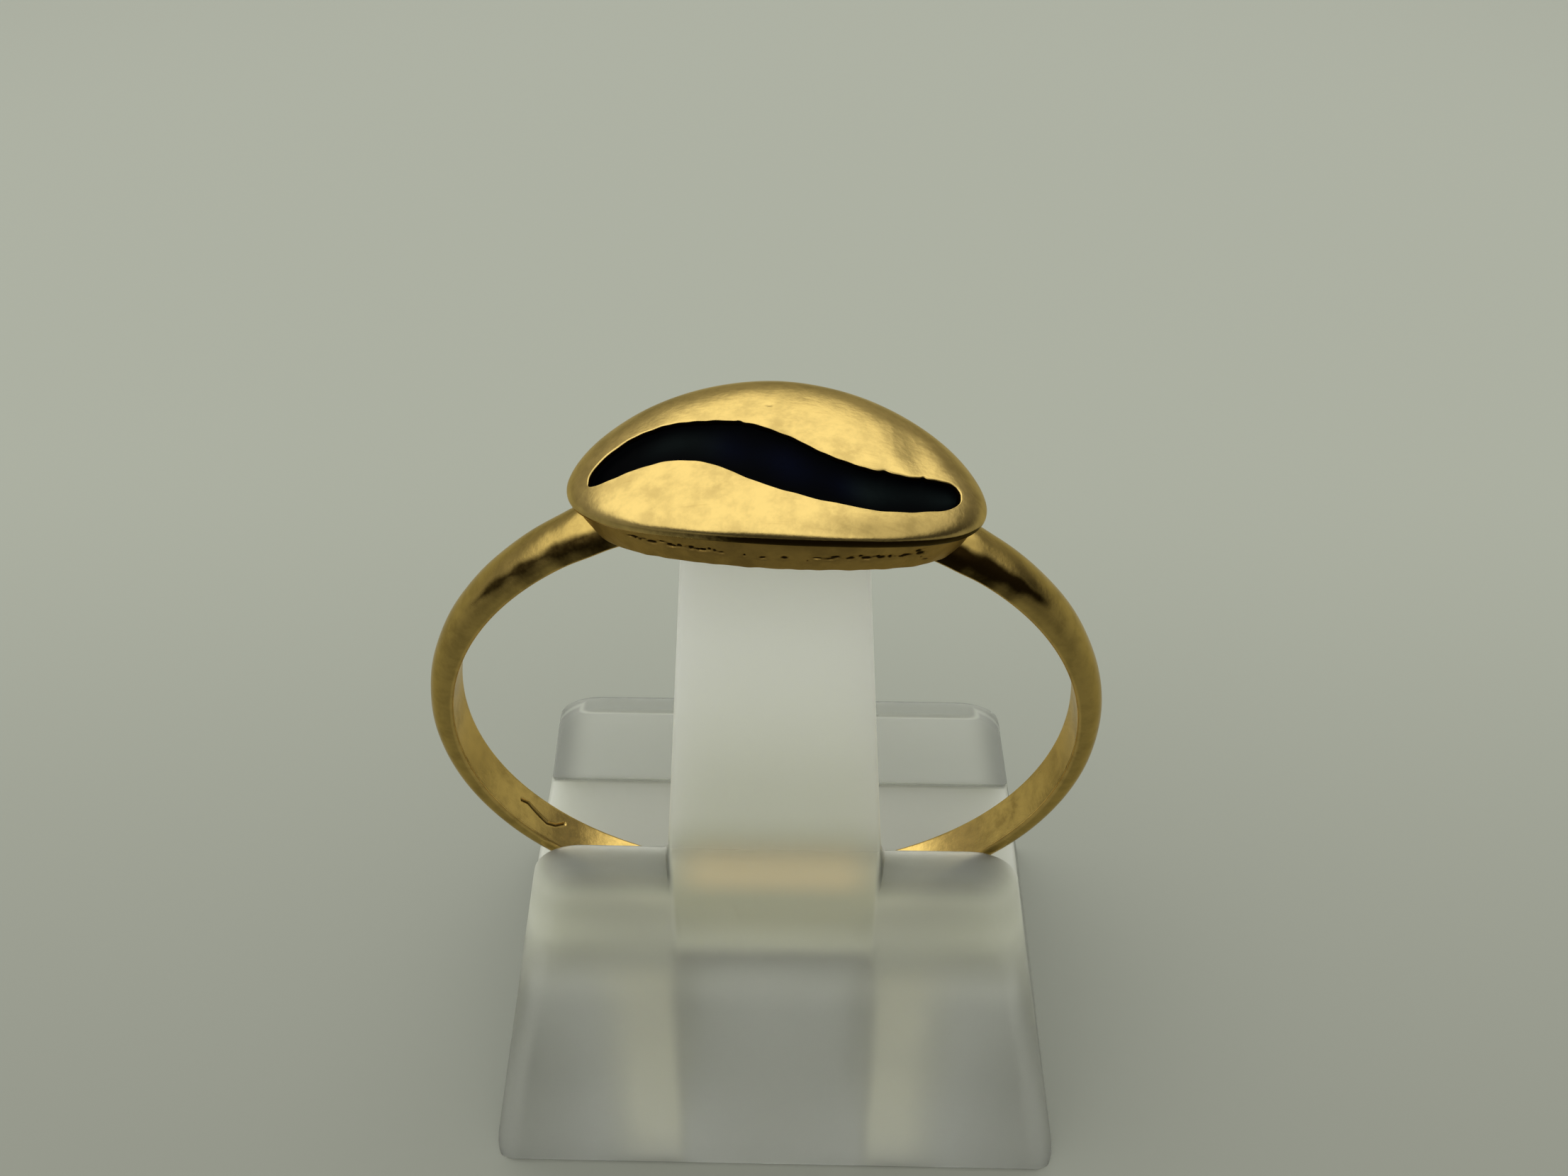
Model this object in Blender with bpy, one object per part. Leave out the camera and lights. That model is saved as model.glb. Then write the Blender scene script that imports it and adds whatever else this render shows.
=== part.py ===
"""A coffee bean ring on its display stand.

The ring is gold: a half-round band with an oval head on top, bent round the finger like the band. The
head is shaped like a coffee bean, and the bean's crease is an S-shaped recess with dark enamel in it.
The ring stands upright in the trough of a small moulded stand, whose tongue leans back through the
finger hole.

Metres, +Z up. X runs across the ring, and Y runs along the finger hole, from the front (-Y) to the back.
The origin is at the middle of the stand's base, on the surface that it stands on.
"""

import math

import bmesh
import bpy
from mathutils import Matrix, Vector

MM = 0.001

# The stand, a block with sloping sides and a trough across its top
BASE_WIDTH = 20.64 * MM
BASE_DEPTH = 13.72 * MM
TOP_WIDTH = 14.56 * MM
TOP_DEPTH = 6.76 * MM
BLOCK_HEIGHT = 14.8 * MM
TROUGH_DEPTH = 4.09 * MM
FRONT_WALL = 1.04 * MM  # thickness at the top
BACK_WALL = 0.6 * MM
WALL_CORNER = 1.35 * MM  # how far the rounding of the walls' upper corners reaches along each face
STAND_EDGE = 0.12 * MM  # rounding of all other edges
NOTCH_WIDTH = 6.0 * MM  # the gap behind the tongue and through the back wall
NOTCH_SILL = 0.3 * MM  # height over the trough's floor of all that is left under the gap

# The tongue goes on upwards from the front wall, as steep as the front face
TONGUE_LENGTH = 13.5 * MM  # height above the walls
TONGUE_ROOT_WIDTH = 6.48 * MM
TONGUE_TIP_WIDTH = 4.42 * MM
TONGUE_TIP_THICKNESS = 1.2 * MM  # along Y
TONGUE_ROOT_THICKNESS = 1.3 * MM  # at the trough's floor
TONGUE_CORNER = 0.6 * MM  # the same at its tip
TONGUE_INSET = 0.03 * MM  # how far its faces lie inside those of the wall

# The band
FINGER_RADIUS = 8.5 * MM
BAND_THICKNESS = 0.72 * MM
FOOT_WIDTH = 1.25 * MM  # at the bottom of the ring
SHOULDER_WIDTH = 1.5 * MM  # where the band runs under the head
BAND_SIDE = 0.2 * MM  # height of the flat side under the half-round
RING_GAP = 0.07 * MM  # between the ring and the stand that holds it
RING_TURN = math.radians(2.2)  # how far the head stands turned towards +X
RING_SHIFT = -0.26 * MM  # along X, from the middle of the stand

# The head, in two layers: a low base and the bean on it. Radii are from the middle of the finger hole.
HEAD_LENGTH = 10.02 * MM  # along the curve
HEAD_WIDTH = 5.24 * MM
HEAD_POINT = 1.88  # 2 makes the outline an ellipse, and less makes its ends more pointed
BASE_SINK = 0.17 * MM  # how deep the head sits over the band's crown
HEAD_BASE = 0.91 * MM  # height of the base
HEAD_INSET = 0.08 * MM  # how far the bean's rim stands out over the base
BEAN_RISE = 0.67 * MM  # height of the bean's dome over its rim
DOME_POWER = 2.2  # 2 makes its section half an ellipse, and more makes its top flatter
HEAD_TWIST = math.radians(1.0)  # how far its long axis turns from the band's plane, left end back

# The crease. Its middle line is one wave, and its width swells in the middle.
CREASE_START = -4.2 * MM  # along the head, from its middle
CREASE_END = 4.05 * MM
CREASE_OFFSET = -0.55 * MM  # towards the front
CREASE_SWING = 0.61 * MM
CREASE_CROSSING = -0.29 * MM  # where the wave crosses its middle
CREASE_HALF_WAVE = 4.08 * MM
CREASE_HALF_WIDTH = 0.53 * MM
CREASE_SWELL = 0.33 * MM
CREASE_SWELL_REACH = 1.36 * MM
CREASE_TIP = 0.05 * MM  # half the width that is left at both ends
CREASE_DEPTH = 0.72 * MM  # under the top of the dome
ENAMEL_GAP = 0.035 * MM  # round the enamel and under it
ENAMEL_SINK = 0.16 * MM  # from the gold's surface down to the enamel's

# Resolution
BAND_STEPS = 96
SECTION_STEPS = 10
OUTLINE_STEPS = 56
DOME_STEPS = 6
CREASE_STEPS = 30

CROWN_RADIUS = FINGER_RADIUS + BAND_THICKNESS
UNDERSIDE_RADIUS = CROWN_RADIUS - BASE_SINK
SEAM_RADIUS = UNDERSIDE_RADIUS + HEAD_BASE
TOP_RADIUS = SEAM_RADIUS + BEAN_RISE
TROUGH_FLOOR = BLOCK_HEIGHT - TROUGH_DEPTH
FRONT_INNER = -TOP_DEPTH / 2 + FRONT_WALL
BACK_INNER = TOP_DEPTH / 2 - BACK_WALL
RING_CENTRE = Vector(
    (RING_SHIFT, FRONT_INNER + RING_GAP + FOOT_WIDTH / 2, TROUGH_FLOOR + RING_GAP + CROWN_RADIUS)
)


def clear_scene():
    for obj in list(bpy.data.objects):
        bpy.data.objects.remove(obj, do_unlink=True)


def material(name, colour, roughness, metallic=0.0, transmission=0.0):
    made = bpy.data.materials.new(name)
    made.use_nodes = True
    surface = made.node_tree.nodes["Principled BSDF"]
    surface.inputs["Base Color"].default_value = (*colour, 1)
    surface.inputs["Roughness"].default_value = roughness
    surface.inputs["Metallic"].default_value = metallic
    surface.inputs["Transmission Weight"].default_value = transmission
    made.diffuse_color = (*colour, 1)
    return made


def solid(name, points, faces, surface=None):
    """An object from points and faces. Its faces are turned to point out."""
    mesh = bpy.data.meshes.new(name)
    mesh.from_pydata([tuple(point) for point in points], [], faces)
    shape = bmesh.new()
    shape.from_mesh(mesh)
    bmesh.ops.recalc_face_normals(shape, faces=shape.faces)
    shape.to_mesh(mesh)
    shape.free()
    obj = bpy.data.objects.new(name, mesh)
    bpy.context.collection.objects.link(obj)
    if surface:
        mesh.materials.append(surface)
        mesh.shade_smooth()
        mesh.set_sharp_from_angle(angle=math.radians(35))
    return obj


def helper(obj):
    """Marks an object that a Boolean uses, and that isn't part of the model."""
    obj.hide_render = True
    obj.display_type = "WIRE"
    return obj


def boolean(obj, other, operation):
    step = obj.modifiers.new(f"{operation} {other.name}", "BOOLEAN")
    step.operation = operation
    step.object = other
    step.solver = "EXACT"


def bridge(first, second, count):
    """Quads between two closed rows of points that start at these indices."""
    return [
        (first + i, first + (i + 1) % count, second + (i + 1) % count, second + i) for i in range(count)
    ]


# The stand


def tapered_prism(name, profile, half_width, surface=None):
    """A solid with this outline in Y and Z, as wide along X as half_width(z) says on each side."""
    count = len(profile)
    points = [(side * half_width(z), y, z) for side in (-1, 1) for y, z in profile]
    caps = [tuple(range(count)), tuple(range(count, 2 * count))]
    return solid(name, points, bridge(0, count, count) + caps, surface)


def block_half_width(z):
    return (BASE_WIDTH + (TOP_WIDTH - BASE_WIDTH) * z / BLOCK_HEIGHT) / 2


def front_face(z):
    """Y of the sloping front face at this height. The tongue's front goes on upwards along it."""
    return -(BASE_DEPTH + (TOP_DEPTH - BASE_DEPTH) * z / BLOCK_HEIGHT) / 2


def tongue_half_width(z):
    share = (z - BLOCK_HEIGHT) / TONGUE_LENGTH
    return (TONGUE_ROOT_WIDTH + (TONGUE_TIP_WIDTH - TONGUE_ROOT_WIDTH) * share) / 2


def tongue_back(z):
    """Y of the tongue's back, which leans like its front."""
    share = (z - TROUGH_FLOOR) / (BLOCK_HEIGHT + TONGUE_LENGTH - TROUGH_FLOOR)
    thickness = TONGUE_ROOT_THICKNESS + (TONGUE_TIP_THICKNESS - TONGUE_ROOT_THICKNESS) * share
    return front_face(z) + TONGUE_INSET + thickness


def round_top_corners(obj, height, reach, steps):
    """Rounds the corners that the top faces at this height make with the two sloping sides."""
    shape = bmesh.new()
    shape.from_mesh(obj.data)
    edges = [
        edge
        for edge in shape.edges
        if all(abs(v.co.z - height) < 1e-6 for v in edge.verts)
        and abs(edge.verts[0].co.x - edge.verts[1].co.x) < 1e-6
    ]
    bmesh.ops.bevel(shape, geom=edges, offset=reach, segments=steps, profile=0.5, affect="EDGES")
    shape.to_mesh(obj.data)
    shape.free()


def soften(obj):
    """A small rounding on every sharp edge, as a moulded piece has."""
    edges = obj.modifiers.new("edges", "BEVEL")
    edges.width = STAND_EDGE
    edges.segments = 2
    edges.limit_method = "ANGLE"
    edges.angle_limit = math.radians(50)


def make_stand(surface):
    profile = [
        (front_face(0), 0),
        (front_face(BLOCK_HEIGHT), BLOCK_HEIGHT),
        (FRONT_INNER, BLOCK_HEIGHT),
        (FRONT_INNER, TROUGH_FLOOR),
        (BACK_INNER, TROUGH_FLOOR),
        (BACK_INNER, BLOCK_HEIGHT),
        (-front_face(BLOCK_HEIGHT), BLOCK_HEIGHT),
        (-front_face(0), 0),
    ]
    stand = tapered_prism("display_stand", profile, block_half_width, surface)
    round_top_corners(stand, BLOCK_HEIGHT, WALL_CORNER, 7)
    soften(stand)
    boolean(stand, make_notch(), "DIFFERENCE")
    boolean(stand, make_tongue(), "UNION")
    return stand


def make_tongue():
    """Its root is sunk into the block, under the trough's floor."""
    root = TROUGH_FLOOR - FRONT_WALL
    tip = BLOCK_HEIGHT + TONGUE_LENGTH
    profile = [
        (front_face(root) + TONGUE_INSET, root),
        (front_face(tip) + TONGUE_INSET, tip),
        (tongue_back(tip), tip),
        (tongue_back(root), root),
    ]
    tongue = helper(tapered_prism("tongue", profile, tongue_half_width))
    round_top_corners(tongue, tip, TONGUE_CORNER, 4)
    soften(tongue)
    return tongue


def make_notch():
    """The space of the mould's core: it clears the tongue's back and cuts the back wall in two."""
    low, high = TROUGH_FLOOR + NOTCH_SILL, BLOCK_HEIGHT + WALL_CORNER
    far = BASE_DEPTH / 2 + BACK_WALL
    near = [tongue_back(z) - 2 * TONGUE_INSET for z in (low, high)]
    profile = [(near[0], low), (near[1], high), (far, high), (far, low)]
    return helper(tapered_prism("notch", profile, lambda z: NOTCH_WIDTH / 2))


# The ring, round an origin in the middle of the finger hole, with the head at +Z


def make_band(surface):
    """A ring swept with a half-round section, a little wider at the top than at the foot."""
    arch = [math.pi * i / SECTION_STEPS for i in range(SECTION_STEPS + 1)]
    points = []
    for step in range(BAND_STEPS):
        turn = 2 * math.pi * step / BAND_STEPS
        half = (FOOT_WIDTH + (SHOULDER_WIDTH - FOOT_WIDTH) * (1 + math.cos(turn)) / 2) / 2
        section = [(FINGER_RADIUS, half), (FINGER_RADIUS, -half)] + [
            (
                FINGER_RADIUS + BAND_SIDE + (BAND_THICKNESS - BAND_SIDE) * math.sin(a),
                -half * math.cos(a),
            )
            for a in arch
        ]
        points += [(r * math.sin(turn), y, r * math.cos(turn)) for r, y in section]
    count = SECTION_STEPS + 3
    faces = []
    for step in range(BAND_STEPS):
        faces += bridge(step * count, (step + 1) % BAND_STEPS * count, count)
    return solid("gold_ring", points, faces, surface)


def on_head(along, y, radius):
    """The point this far along the head and to its back, as measured at the seam, bent round the finger."""
    c, s = math.cos(HEAD_TWIST), math.sin(HEAD_TWIST)
    turn = (along * c + y * s) / SEAM_RADIUS
    return (radius * math.sin(turn), y * c - along * s, radius * math.cos(turn))


def outline(angle, inset=0.0):
    """Point of the head's outline, which is a superellipse, as (along, y)."""
    power = 2 / HEAD_POINT
    c, s = math.cos(angle), math.sin(angle)
    return (
        (HEAD_LENGTH / 2 - inset) * math.copysign(abs(c) ** power, c),
        (HEAD_WIDTH / 2 - inset) * math.copysign(abs(s) ** power, s),
    )


def dome_radius(along, y):
    """Radius of the bean's surface over this point of the head."""
    reach = abs(2 * along / HEAD_LENGTH) ** HEAD_POINT + abs(2 * y / HEAD_WIDTH) ** HEAD_POINT
    height = max(0.0, 1 - reach ** (DOME_POWER / HEAD_POINT)) ** (1 / DOME_POWER)
    return SEAM_RADIUS + BEAN_RISE * height


def make_head():
    """Rows of points from the base's underside up its wall, out to the bean's rim and over the dome."""
    rows = [(0.5, 0.0, UNDERSIDE_RADIUS), (1.0, HEAD_INSET, UNDERSIDE_RADIUS), (1.0, HEAD_INSET, SEAM_RADIUS)]
    rows += [
        (math.cos(a) ** (2 / DOME_POWER), 0.0, SEAM_RADIUS + BEAN_RISE * math.sin(a) ** (2 / DOME_POWER))
        for a in (math.pi / 2 * i / DOME_STEPS for i in range(DOME_STEPS))
    ]
    points, faces = [], []
    for scale, inset, radius in rows:
        for i in range(OUTLINE_STEPS):
            along, y = outline(2 * math.pi * i / OUTLINE_STEPS, inset)
            points.append(on_head(scale * along, scale * y, radius))
    for row in range(len(rows) - 1):
        faces += bridge(row * OUTLINE_STEPS, (row + 1) * OUTLINE_STEPS, OUTLINE_STEPS)
    for start, radius in ((0, UNDERSIDE_RADIUS), (len(points) - OUTLINE_STEPS, TOP_RADIUS)):
        points.append(on_head(0, 0, radius))
        middle = len(points) - 1
        faces += [(start + i, start + (i + 1) % OUTLINE_STEPS, middle) for i in range(OUTLINE_STEPS)]
    return helper(solid("head", points, faces))


def crease_middle(along):
    wave = math.sin(math.pi * (along - CREASE_CROSSING) / CREASE_HALF_WAVE)
    return CREASE_OFFSET - CREASE_SWING * wave


def crease_half_width(along):
    """Widest near the middle, pointed at the start and blunt at the end."""
    swell = CREASE_SWELL * math.exp(-(((along - CREASE_CROSSING) / CREASE_SWELL_REACH) ** 2))
    share = (along - CREASE_START) / (CREASE_END - CREASE_START)
    ends = math.sqrt(1 - (1 - share) ** 5) * math.sqrt(1 - share**16)
    return CREASE_TIP + (CREASE_HALF_WIDTH + swell - CREASE_TIP) * ends


def crease_solid(name, margin, low, high, surface=None):
    """The S shape between two heights, each a radius as a function of (along, y).

    It is smaller than the crease by the margin all round. The stations lie closer together at the ends.
    """
    start, end = CREASE_START + margin, CREASE_END - margin
    points = []
    for i in range(CREASE_STEPS + 1):
        share = (1 - math.cos(math.pi * i / CREASE_STEPS)) / 2
        along = start + (end - start) * share
        half = max(crease_half_width(along) - margin, CREASE_TIP / 2)
        middle = crease_middle(along)
        for y in (middle - half, middle, middle + half):
            points += [on_head(along, y, low(along, y)), on_head(along, y, high(along, y))]
    faces = []
    for i in range(CREASE_STEPS):
        a, b = 6 * i, 6 * i + 6
        faces += [(a, a + 2, b + 2, b), (a + 2, a + 4, b + 4, b + 2)]
        faces += [(a + 1, a + 3, b + 3, b + 1), (a + 3, a + 5, b + 5, b + 3)]
        faces += [(a, a + 1, b + 1, b), (a + 4, a + 5, b + 5, b + 4)]
    for a in (0, 6 * CREASE_STEPS):
        faces += [(a, a + 2, a + 3, a + 1), (a + 2, a + 4, a + 5, a + 3)]
    return solid(name, points, faces, surface)


def floor_radius(along, y):
    return TOP_RADIUS - CREASE_DEPTH


def make_ring(gold, enamel):
    ring = make_band(gold)
    head = make_head()
    cutter = helper(crease_solid("crease", 0.0, floor_radius, lambda along, y: TOP_RADIUS + BEAN_RISE))
    inlay = crease_solid(
        "crease_enamel",
        ENAMEL_GAP,
        lambda along, y: floor_radius(along, y) + ENAMEL_GAP,
        lambda along, y: dome_radius(along, y) - ENAMEL_SINK,
        enamel,
    )
    boolean(ring, head, "UNION")
    boolean(ring, cutter, "DIFFERENCE")
    place = Matrix.Translation(RING_CENTRE) @ Matrix.Rotation(RING_TURN, 4, "Y")
    for obj in (ring, head, cutter, inlay):
        obj.matrix_world = place


clear_scene()
make_ring(
    material("gold", (0.83, 0.60, 0.24), 0.22, metallic=1.0),
    material("dark_enamel", (0.01, 0.012, 0.03), 0.12),
)
make_stand(material("frosted_plastic", (0.74, 0.76, 0.72), 0.45, transmission=0.6))
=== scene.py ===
# %% [markdown]
# # A coffee bean ring on its display stand
# The ring is a gold band with an oval head. The head is shaped like a coffee bean, and the bean's crease is
# an S-shaped recess filled with dark enamel. A small frosted plastic stand holds the ring upright.
#
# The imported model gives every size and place. It is loaded first, and each visible piece is built in the same
# space, so nothing has to be fitted afterwards. The ring could also be sculpted by hand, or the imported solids
# smoothed with a modifier. Sculpting can't be repeated exactly, and the solids' triangles are too uneven for
# a clean reflection in gold. So each surface is worked out anew from a formula.

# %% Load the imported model
import math

import bmesh
import bpy
import numpy as np
from mathutils import Matrix, Vector


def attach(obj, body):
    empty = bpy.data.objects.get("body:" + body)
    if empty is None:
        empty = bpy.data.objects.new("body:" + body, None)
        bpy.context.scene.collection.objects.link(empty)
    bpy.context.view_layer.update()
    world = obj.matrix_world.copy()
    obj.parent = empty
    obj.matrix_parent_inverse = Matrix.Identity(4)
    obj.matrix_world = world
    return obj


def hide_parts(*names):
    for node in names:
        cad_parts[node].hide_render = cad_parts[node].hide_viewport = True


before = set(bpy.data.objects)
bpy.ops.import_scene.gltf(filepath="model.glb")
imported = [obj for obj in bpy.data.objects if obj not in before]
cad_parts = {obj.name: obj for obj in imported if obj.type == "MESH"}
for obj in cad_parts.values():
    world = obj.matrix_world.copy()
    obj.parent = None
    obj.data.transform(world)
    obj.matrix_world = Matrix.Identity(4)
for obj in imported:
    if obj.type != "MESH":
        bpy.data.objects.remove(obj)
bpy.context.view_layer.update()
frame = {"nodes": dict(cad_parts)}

MM = 0.001
print("solids:", ", ".join(frame["nodes"]))

# %% [markdown]
# ## The camera
# A macro picture is taken from very near, so lines run together strongly. The lens and the distance both
# matter: a long lens from far away would show the same angle and still look wrong. The camera looks down at
# 47 degrees at a point just under the head, from 31.5 mm away.

# %% Camera
FRAME_WIDTH = 2212  # pixels
FOCAL_PIXELS = 1800
LOOK_AT = Vector((0.24, -1.645, 25.74)) * MM
CAMERA_DISTANCE = 31.52 * MM
ELEVATION = math.radians(47.32)
AZIMUTH = math.radians(0.99)
ROLL = math.radians(0.13)


def in_scene(data):
    """A new object of the data's name, linked to the scene."""
    made = bpy.data.objects.new(data.name, data)
    bpy.context.scene.collection.objects.link(made)
    return made


camera_data = bpy.data.cameras.new("camera")
camera = in_scene(camera_data)
bpy.context.scene.camera = camera
camera_data.sensor_width = 36
camera_data.lens = camera_data.sensor_width * FOCAL_PIXELS / FRAME_WIDTH
camera_data.clip_start = 1 * MM
camera_data.clip_end = 10
level = math.cos(ELEVATION)
towards_camera = Vector((math.sin(AZIMUTH) * level, -math.cos(AZIMUTH) * level, math.sin(ELEVATION)))
turned = (-towards_camera).to_track_quat("-Z", "Y").to_matrix() @ Matrix.Rotation(ROLL, 3, "Z")
camera.matrix_world = Matrix.Translation(LOOK_AT + towards_camera * CAMERA_DISTANCE) @ turned.to_4x4()
print("camera at", [round(value / MM, 1) for value in camera.matrix_world.translation], "mm")

# %% [markdown]
# ## From a grid of points to a mesh
# Every piece is a surface that a formula gives on a grid of rows and columns. The columns close into a loop,
# and a row whose points all lie on one line closes the surface there, like the seam of a purse. Whole arrays
# go into the mesh at once, which is much quicker than adding vertices one by one.

# %% Mesh helpers
MERGED = 0.0001 * MM  # points nearer than this are one point


def grid_faces(rows, columns):
    """Quads between neighbouring rows, with the last column joined to the first."""
    point = np.arange(rows * columns).reshape(rows, columns)
    after = np.roll(point, -1, axis=1)
    return np.stack([point[:-1], after[:-1], after[1:], point[1:]], -1).reshape(-1, 4)


def merged(mesh):
    """A bmesh of this mesh, with its doubles merged."""
    shape = bmesh.new()
    shape.from_mesh(mesh)
    bmesh.ops.remove_doubles(shape, verts=shape.verts, dist=MERGED)
    return shape


def finished(mesh, shape):
    """The smooth object of a bmesh, which should have no open edge."""
    shape.to_mesh(mesh)
    open_edges = sum(not edge.is_manifold for edge in shape.edges)
    shape.free()
    mesh.shade_smooth()
    print(f"{mesh.name}: {len(mesh.polygons)} faces, {open_edges} open edges")
    return in_scene(mesh)


def grid_object(name, grid, **marks):
    """A closed object from points in rows and columns. Marks are values at the points, for materials."""
    faces = grid_faces(*grid.shape[:2])
    mesh = bpy.data.meshes.new(name)
    mesh.vertices.add(grid.size // 3)
    mesh.vertices.foreach_set("co", grid.astype(np.float32).ravel())
    mesh.loops.add(faces.size)
    mesh.loops.foreach_set("vertex_index", faces.astype(np.int32).ravel())
    mesh.polygons.add(len(faces))
    mesh.polygons.foreach_set("loop_start", np.arange(0, faces.size, 4, dtype=np.int32))
    mesh.update(calc_edges=True)
    for mark, values in marks.items():
        layer = mesh.attributes.new(mark, "FLOAT", "POINT")
        layer.data.foreach_set("value", np.asarray(values, np.float32).ravel())
    shape = merged(mesh)
    bmesh.ops.recalc_face_normals(shape, faces=shape.faces)
    return finished(mesh, shape)


# %% [markdown]
# ## Unevenness by hand
# A cast and hand-finished piece is never quite regular. A sum of a few waves with seeded random directions
# and phases gives a smooth unevenness that is the same in every run.

# %% Waves
WAVE_COUNT = 9
HAND_FINISH = 0.006 * MM  # how far filed and polished gold is from smooth


def waves(a, b, length, seed):
    """Smooth random values from about -1 to 1 over two coordinates: a mean of waves of about this length."""
    random = np.random.default_rng(seed)
    total = np.zeros(np.broadcast(a, b).shape)
    for _ in range(WAVE_COUNT):
        heading, phase = random.uniform(0, 2 * np.pi, 2)
        pitch = 2 * np.pi / (length * random.uniform(0.7, 1.5))
        total += np.sin(pitch * (a * np.cos(heading) + b * np.sin(heading)) + phase)
    return total / np.sqrt(WAVE_COUNT)


# %% [markdown]
# ## Where the ring stands
# The ring's own frame has its origin in the middle of the finger hole and the head at the top. The real ring
# leans a little to one side, so each finished grid is turned about the finger's axis, then moved onto the
# stand. The sizes are those of the solids.

# %% The ring's place
FINGER_RADIUS = 8.5 * MM
BAND_THICKNESS = 0.72 * MM
RING_TURN = math.radians(2.2)
RING_CENTRE = np.array((-0.26, -1.645, 20.0)) * MM


def in_place(points):
    """Turns points of the ring's own frame about Y and moves them to where the ring stands."""
    x, y, z = np.moveaxis(points, -1, 0)
    c, s = math.cos(RING_TURN), math.sin(RING_TURN)
    return np.stack([x * c + z * s, y, z * c - x * s], -1) + RING_CENTRE


print("the middle of the finger hole is", round(RING_CENTRE[2] / MM, 2), "mm up")

# %% [markdown]
# ## The band
# The band is a half-round wire: flat on the finger's side, round outside, and a little wider at the top. It
# is one section carried round a circle. Near the head it thickens where it was soldered on.
#
# A curve with a bevel profile would give much the same wire. On a grid, each point knows its place round the
# ring and across the wire, and the flaw and the tarnish below need that.

# %% Band sizes
FOOT_WIDTH = 1.25 * MM
SHOULDER_WIDTH = 1.5 * MM
BAND_SIDE = 0.2 * MM
BAND_INNER_EDGE = 0.07 * MM
SOLDER_ANGLE = math.radians(30.5)  # from the top of the ring, where the head's ends are
SOLDER_REACH = math.radians(3.0)
SOLDER_RISE = 0.035 * MM
ARCH_COLUMNS = 40
print("the band is", round(FOOT_WIDTH / MM, 2), "to", round(SHOULDER_WIDTH / MM, 2), "mm wide")

# %% [markdown]
# ## Marks of age and painted shade on the band
# Inside the band, at the lower left, is a short crooked groove from the casting. Each point near it sinks by
# a bell-shaped amount that depends on its distance from a line of points. A painted line would be simpler,
# but a real groove also catches the light on one side.
#
# Along the front of both shoulders the gold is painted nearly black, as a painted dark reflection of the dim
# room in front. It is a mark and not a shape, so a second function only gives its strength. It is kept with the
# mesh as an attribute, together with the groove, which the material reads.

# %% Flaw and painted shade
# (degrees round the ring, place across from -1 to 1)
FLAW = np.array([(239.3, 0.14), (237.3, 0.24), (233.7, 0.03), (231.0, -0.11), (228.6, 0.04), (226.5, 0.38)])
FLAW_POINTS = 80
FLAW_RADIUS = 0.04 * MM
FLAW_DEPTH = 0.05 * MM
STREAK_START = 28  # degrees down from the head
STREAK_ENDS = (58, 50)  # at the left and at the right
STREAK_HALVES = (0.19, 0.25)  # half widths, as a share of the band's
STREAK_STRENGTHS = (0.88, 1)
STREAK_BLUR = 0.24


def flaw(turn, across):
    """Depth from 0 to 1 of a casting flaw inside the band: a bell of the distance from a line of points."""
    steps = np.linspace(0, len(FLAW) - 1, FLAW_POINTS)
    degrees, place = (np.interp(steps, np.arange(len(FLAW)), FLAW[:, i]) for i in range(2))
    along = (turn[..., None] - np.radians(degrees)) * FINGER_RADIUS
    aside = (across[..., None] - place) * FOOT_WIDTH / 2
    return np.exp(-np.min(along**2 + aside**2, axis=-1) / FLAW_RADIUS**2)


def painted_dark_streak(turn, across, height):
    """Painted dark reflection along the front of both shoulders: 1 inside a ragged spindle that ends 50 to 58
    degrees down.
    """
    away = np.degrees((turn + np.pi) % (2 * np.pi) - np.pi)
    left_right = (STREAK_ENDS, STREAK_HALVES, STREAK_STRENGTHS)
    end, half, strength = (np.where(away < 0, *pair) for pair in left_right)
    share = np.clip((np.abs(away) - STREAK_START) / (end - STREAK_START), 0, 1)
    middle = -0.9 + 0.19 * share
    ragged = 0.035 * waves(away * 0.15 * MM, across * 0.7 * MM, 0.8 * MM, seed=31)
    half = half * np.sqrt(1 - share**2) + ragged
    inside = np.clip((half - np.abs(across - middle)) / STREAK_BLUR + 0.5, 0, 1) * strength
    return inside * np.clip(5 - 5 * share, 0, 1) * (height > 0.05 * MM)


print("the flaw is", round(float(np.ptp(np.radians(FLAW[:, 0]))) * FINGER_RADIUS / MM, 2), "mm long")

# %% [markdown]
# ## Carrying the section round
# The section has four numbers for each of its points: the height over the finger hole, the share of the half
# width, an offset from it for the small rounded edges, and the share of the crown's rise. All rows are then
# computed at once, as one array of rows and columns.

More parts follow.
